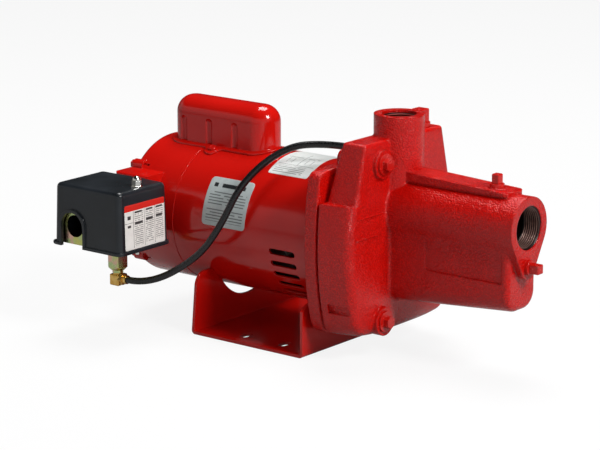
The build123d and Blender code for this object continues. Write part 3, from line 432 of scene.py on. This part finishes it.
def bead(name, start, end, radius, material):
    """Round bar with domed ends along a straight line: radius x square root of (1 - t^8), where t
    runs from -1 to 1 along the line, and the angle runs round it."""
    first, last = np.array(start, float), np.array(end, float)
    side, other, along = frame_of(last - first)
    t = np.sin(np.linspace(-np.pi / 2, np.pi / 2, 28))[:, None, None]
    angle = np.linspace(0, 2 * np.pi, 20, endpoint=False)[:, None]
    centre = (first + last) / 2 + t * np.linalg.norm(last - first) / 2 * along
    swell = radius * np.sqrt(np.clip(1 - t ** 8, 0, 1))
    points = centre + swell * (np.cos(angle) * side + np.sin(angle) * other)
    surface(name, points, material)


for number, (level, near_end, far_end) in enumerate(MOULD_SEAMS, 1):
    x = CASING_FACE + SEAM_OUT
    bead(f"mould_seam_{number}", (x, near_end, level), (x, far_end, level), SEAM_R,
         FINISH["red_casting"])


def ball(name, centre, radius, material):
    """Sphere: latitude along the rows, longitude round the columns."""
    lat = np.linspace(-np.pi / 2, np.pi / 2, 18)[:, None]
    lon = np.linspace(0, 2 * np.pi, 28, endpoint=False)
    points = np.stack([np.cos(lat) * np.cos(lon), np.cos(lat) * np.sin(lon), np.sin(lat) + 0 * lon], -1)
    surface(name, np.array(centre) + radius * points, material)


knob_place = np.array((SWITCH_X0, SWITCH_Y0, SWITCH_Z0)) + KNOB_IN
ball("switch_foot_knob", knob_place, KNOB_R, FINISH["cover_black"])


# Labels: thin sheets with rounded corners, printed with plain rules and bars

def rounded_rectangle(width, height, corner, count=144):
    """Rounded rectangle as a closed row of evenly spaced points: four quarter circles at the corners,
    joined by straight sides, then divided again by length."""
    step = np.linspace(0, np.pi / 2, 12)
    corners = []
    for k, (a, b) in enumerate(((1, 1), (-1, 1), (-1, -1), (1, -1))):
        turn = step + k * np.pi / 2
        corners.append(np.stack([a * (width / 2 - corner) + corner * np.cos(turn),
                                 b * (height / 2 - corner) + corner * np.sin(turn)], -1))
    line = np.vstack(corners + [corners[0][:1]])
    run = np.concatenate([[0], np.cumsum(np.linalg.norm(np.diff(line, axis=0), axis=1))])
    even = np.linspace(0, run[-1], count, endpoint=False)
    return np.stack([np.interp(even, run, line[:, 0]), np.interp(even, run, line[:, 1])], -1)


def label(name, size, corner, thick, place, material):
    """Closed thin sheet: nine rings grow from the centre to a hair inside the outline on the printed
    face, then four go round the edge and back to the centre behind. The place function carries each
    ring to the pump."""
    outline = rounded_rectangle(*size, corner)
    shares = [0.0, 0.12, 0.25, 0.37, 0.5, 0.62, 0.75, 0.87, 0.985, 1.0, 1.0, 0.6, 0.0]
    heights = [thick] * 9 + [thick * 0.8, -0.15, -LABEL_SUNK, -LABEL_SUNK]
    plan = np.array(shares)[:, None, None] * outline[None]
    points = place(plan[..., 0], plan[..., 1], np.array(heights)[:, None])
    uv = plan / np.array(size) + 0.5
    piece = surface(name, points, material, uv=uv)


def on_shell(x, angle):
    """Place on the motor shell: a runs along the shaft, b round it from a middle angle in degrees."""
    def place(a, b, h):
        turn = math.radians(angle) + b / SHELL_R
        r = SHELL_R + h
        return np.stack([x + a, -r * np.cos(turn), AXIS_Z + r * np.sin(turn)], -1)
    return place


def on_switch(a, b, h):
    """Place on the switch cover's right side, which leans in a little towards the top."""
    up = SWITCH_LABEL_UP + b
    return np.stack([SWITCH_X1 + 0.05 + h - SWITCH_LEAN * up, SWITCH_LABEL_Y + a, SWITCH_Z0 + up + 0 * h], -1)


def within(add, axes, area):
    """1 inside an area of a label's plan: left, right, bottom and top as shares of its size."""
    left, right, bottom, top = area
    tests = (("GREATER_THAN", "X", left), ("LESS_THAN", "X", right),
             ("GREATER_THAN", "Y", bottom), ("LESS_THAN", "Y", top))
    mask = 1.0
    for test, axis, value in tests:
        inside = add("ShaderNodeMath", {0: axes[axis], 1: value}, operation=test)
        mask = add("ShaderNodeMath", {0: mask, 1: inside}, operation="MULTIPLY")
    return mask


def small_print(add, axes, rows, words):
    """Rows of short bars with gaps like words, over the whole plan."""
    line = add("ShaderNodeMath", {0: axes["Y"], 1: rows}, operation="MULTIPLY")
    across = add("ShaderNodeMath", {0: axes["X"], 1: words}, operation="MULTIPLY")
    in_line = add("ShaderNodeMath", {0: line}, operation="FRACT")
    above = add("ShaderNodeMath", {0: in_line, 1: 0.34}, operation="GREATER_THAN")
    below = add("ShaderNodeMath", {0: in_line, 1: 0.72}, operation="LESS_THAN")
    bar = add("ShaderNodeMath", {0: above, 1: below}, operation="MULTIPLY")
    row = add("ShaderNodeMath", {0: line}, operation="FLOOR")
    word = add("ShaderNodeMath", {0: across}, operation="FLOOR")
    place = add("ShaderNodeCombineXYZ", {"X": word, "Y": row})
    chance = add("ShaderNodeTexWhiteNoise", {"Vector": place})
    kept = add("ShaderNodeMath", {0: chance, 1: 0.14}, operation="GREATER_THAN")
    return add("ShaderNodeMath", {0: bar, 1: kept}, operation="MULTIPLY")


def printed(name, ground, ink, rows, words, print_areas, solid_areas, rough, metallic, band=None):
    """Label stock printed in its plan's coordinates: plain rules and bars, areas of small bars that
    stand for text, and a plain colour band along the top where there is one. The stock is clouded
    a little, at 4 mm, so that it isn't one flat tone."""
    material, shader, at, add = new_material(name)
    plan = add("ShaderNodeUVMap", uv_map="plan")
    axes = add("ShaderNodeSeparateXYZ", {"Vector": plan}).node.outputs
    text = 0.0
    for area in print_areas:
        text = add("ShaderNodeMath", {0: text, 1: within(add, axes, area)}, operation="MAXIMUM")
    bars = add("ShaderNodeMath", {0: text, 1: small_print(add, axes, rows, words)}, operation="MULTIPLY")
    inked = add("ShaderNodeMath", {0: bars, 1: 0.72}, operation="MULTIPLY")
    for area in solid_areas:
        inked = add("ShaderNodeMath", {0: inked, 1: within(add, axes, area)}, operation="MAXIMUM")
    cloud = add("ShaderNodeTexNoise", {"Vector": at, "Scale": 1 / (4 * MM), "Detail": 2.0})
    clouded = add("ShaderNodeBump", {"Height": cloud, "Distance": 0.03 * MM})
    drift = add("ShaderNodeMapRange", {"Value": cloud, **MIDDLE})
    stock = add("ShaderNodeMix", {0: drift, 6: colour(ground[0]), 7: colour(ground[1])}, **MIX)
    shade = add("ShaderNodeMix", {0: inked, 6: stock, 7: colour(ink)}, **MIX)
    if band:
        on_band = add("ShaderNodeMath", {0: axes["Y"], 1: 0.86}, operation="GREATER_THAN")
        shade = add("ShaderNodeMix", {0: on_band, 6: shade, 7: colour(band)}, **MIX)
    dull = add("ShaderNodeMapRange", {"Value": cloud, **MIDDLE, "To Min": rough, "To Max": rough + 0.1})
    fill(shader, {"Base Color": shade, "Roughness": dull, "Normal": clouded, "Metallic": metallic})
    return material


# Areas are left, right, bottom and top as shares of the label: two blocks of small print under a
# square and a bar; a divided chart over small print; three columns under a band, ruled apart
FOIL = printed("silver_foil_label_stock", ("#B6C0C0", "#C1CAC9"), "#25292B", rows=17.0, words=12.0,
               print_areas=[(0.08, 0.93, 0.42, 0.70), (0.08, 0.93, 0.09, 0.36)],
               solid_areas=[(0.30, 0.84, 0.79, 0.875), (0.11, 0.20, 0.79, 0.875)],
               rough=0.35, metallic=0.12)
WHITE = printed("silver_white_label_stock", ("#D6DCD9", "#E0E3E1"), "#4A4F50", rows=24.0, words=16.0,
                print_areas=[(0.08, 0.80, 0.05, 0.23), (0.10, 0.46, 0.50, 0.56), (0.58, 0.92, 0.50, 0.56)],
                solid_areas=[(0.515, 0.525, 0.28, 0.70), (0.06, 0.94, 0.262, 0.270),
                             (0.18, 0.19, 0.33, 0.47), (0.31, 0.32, 0.33, 0.47),
                             (0.65, 0.66, 0.33, 0.47), (0.79, 0.80, 0.33, 0.47)],
                rough=0.30, metallic=0.0)
VINYL = printed("white_vinyl_label_stock", ("#E6E4DF", "#EFEDE8"), "#3B3B3B", rows=23.0, words=31.0,
                print_areas=[(0.24, 0.46, 0.07, 0.84), (0.52, 0.72, 0.09, 0.84), (0.77, 0.96, 0.11, 0.84)],
                solid_areas=[(0.212, 0.220, 0.03, 0.86), (0.488, 0.495, 0.03, 0.86),
                             (0.744, 0.751, 0.03, 0.86), (0.00, 0.212, 0.595, 0.603),
                             (0.25, 0.45, 0.545, 0.60), (0.53, 0.70, 0.575, 0.63),
                             (0.78, 0.94, 0.600, 0.655), (0.25, 0.43, 0.795, 0.835),
                             (0.53, 0.70, 0.80, 0.84), (0.78, 0.94, 0.80, 0.84),
                             (0.07, 0.15, 0.68, 0.76), (0.07, 0.15, 0.50, 0.55)],
                rough=0.40, metallic=0.0, band="#D8251A")
label("side_label", SIDE_LABEL, 4.0, 0.15, on_shell(-40.1, 23.1), FOIL)
label("top_label", TOP_LABEL, 2.0, 0.15, on_shell(16.9, 79.5), WHITE)
label("switch_label", SWITCH_LABEL, 1.5, 0.2, on_switch, VINYL)


# Studio: pale floor, white surroundings, soft lamps

def surroundings():
    """White backdrop to the eye. Reflections see it low down on the near side, at half strength, and
    a dark room above and behind; the light that falls on the pump from it is weak."""
    world = bpy.data.worlds.new("studio_white")
    bpy.context.scene.world = world
    world.use_nodes = True
    add = partial(add_node, world.node_tree)
    dim = add("ShaderNodeBackground", {"Color": (1, 1, 1, 1), "Strength": 0.09})
    dark = add("ShaderNodeBackground", {"Color": (1, 1, 1, 1), "Strength": 0.02})
    white = add("ShaderNodeBackground", {"Color": (1, 1, 1, 1), "Strength": 1.0})
    direction = add("ShaderNodeTexCoord", output="Generated")
    toward = add("ShaderNodeSeparateXYZ", {"Vector": direction}).node.outputs
    path = add("ShaderNodeLightPath").node.outputs
    low = add("ShaderNodeMapRange", {"Value": toward["Z"], "From Min": 0.48, "From Max": 0.42})
    near = add("ShaderNodeMapRange", {"Value": toward["Y"], "From Min": 0.30, "From Max": -0.10})
    low_and_near = add("ShaderNodeMath", {0: low, 1: near}, operation="MULTIPLY")
    glossy = add("ShaderNodeMath", {0: path["Is Glossy Ray"], 1: low_and_near}, operation="MULTIPLY")
    mirrored = add("ShaderNodeMath", {0: glossy, 1: 0.5}, operation="MULTIPLY")
    direct = add("ShaderNodeMath", {0: path["Is Camera Ray"], 1: path["Is Transmission Ray"]},
                 operation="MAXIMUM")
    share = add("ShaderNodeMath", {0: direct, 1: mirrored}, operation="MAXIMUM")
    room = add("ShaderNodeMixShader", {0: path["Is Glossy Ray"], 1: dim, 2: dark})
    both = add("ShaderNodeMixShader", {0: share, 1: room, 2: white})
    fill(world.node_tree.nodes["World Output"], {"Surface": both})


def floor():
    """Plain floor under the feet: nearly white to the eye but for the pump's shadow, a duller grey
    in reflections, and a dark grey where light bounces from it onto the pump."""
    reach, level = 8.0, -0.0002
    mesh = bpy.data.meshes.new("studio_floor")
    mesh.from_pydata([(x * reach, y * reach, level) for x, y in ((-1, -1), (1, -1), (1, 1), (-1, 1))],
                     [], [(0, 1, 2, 3)])
    material = bpy.data.materials.new("pale_studio_floor")
    material.use_nodes = True
    tree = material.node_tree
    tree.nodes.remove(tree.nodes["Principled BSDF"])
    add = partial(add_node, tree)
    bounce = add("ShaderNodeBsdfDiffuse", {"Color": (0.30, 0.30, 0.30, 1)})
    slate = add("ShaderNodeBsdfDiffuse", {"Color": (0.42, 0.42, 0.42, 1)})
    paint = add("ShaderNodeBsdfDiffuse", {"Color": (0.8, 0.8, 0.8, 1)})
    glow = add("ShaderNodeEmission", {"Color": (1, 1, 1, 1), "Strength": 1.0})
    pale = add("ShaderNodeMixShader", {0: 0.88, 1: paint, 2: glow})
    dull = add("ShaderNodeMixShader", {0: 0.12, 1: slate, 2: glow})
    path = add("ShaderNodeLightPath").node.outputs
    direct = add("ShaderNodeMath", {0: path["Is Camera Ray"], 1: path["Is Transmission Ray"]},
                 operation="MAXIMUM")
    unseen = add("ShaderNodeMixShader", {0: path["Is Glossy Ray"], 1: bounce, 2: dull})
    both = add("ShaderNodeMixShader", {0: direct, 1: unseen, 2: pale})
    fill(tree.nodes["Material Output"], {"Surface": both})
    mesh.materials.append(material)
    piece = bpy.data.objects.new("studio_floor", mesh)
    bpy.context.scene.collection.objects.link(piece)


def softbox(name, place, aim, size, power, mirrored=True):
    """Square soft lamp that faces its aim; mirrored says whether gloss shows it."""
    data = bpy.data.lights.new(name, "AREA")
    data.size, data.energy = size, power
    lamp = bpy.data.objects.new(name, data)
    bpy.context.scene.collection.objects.link(lamp)
    lamp.location = place
    lamp.visible_glossy = mirrored
    lamp.rotation_euler = (Vector(aim) - Vector(place)).to_track_quat("-Z", "Y").to_euler()


surroundings()
floor()
softbox("key_from_the_right", place=(2.0, -0.2, 1.7), aim=(0.05, 0, 0.12), size=0.7, power=52)
softbox("low_fill_from_the_front", place=(1.4, -1.25, 0.10), aim=(0.1, 0, 0.12), size=0.7, power=5.0,
        mirrored=False)
softbox("top_from_behind", place=(-0.3, 0.6, 2.3), aim=(0, 0, 0.1), size=1.1, power=44)
softbox("fill_from_the_left", place=(-1.6, -1.9, 1.3), aim=(0, 0, 0.1), size=0.9, power=5, mirrored=False)
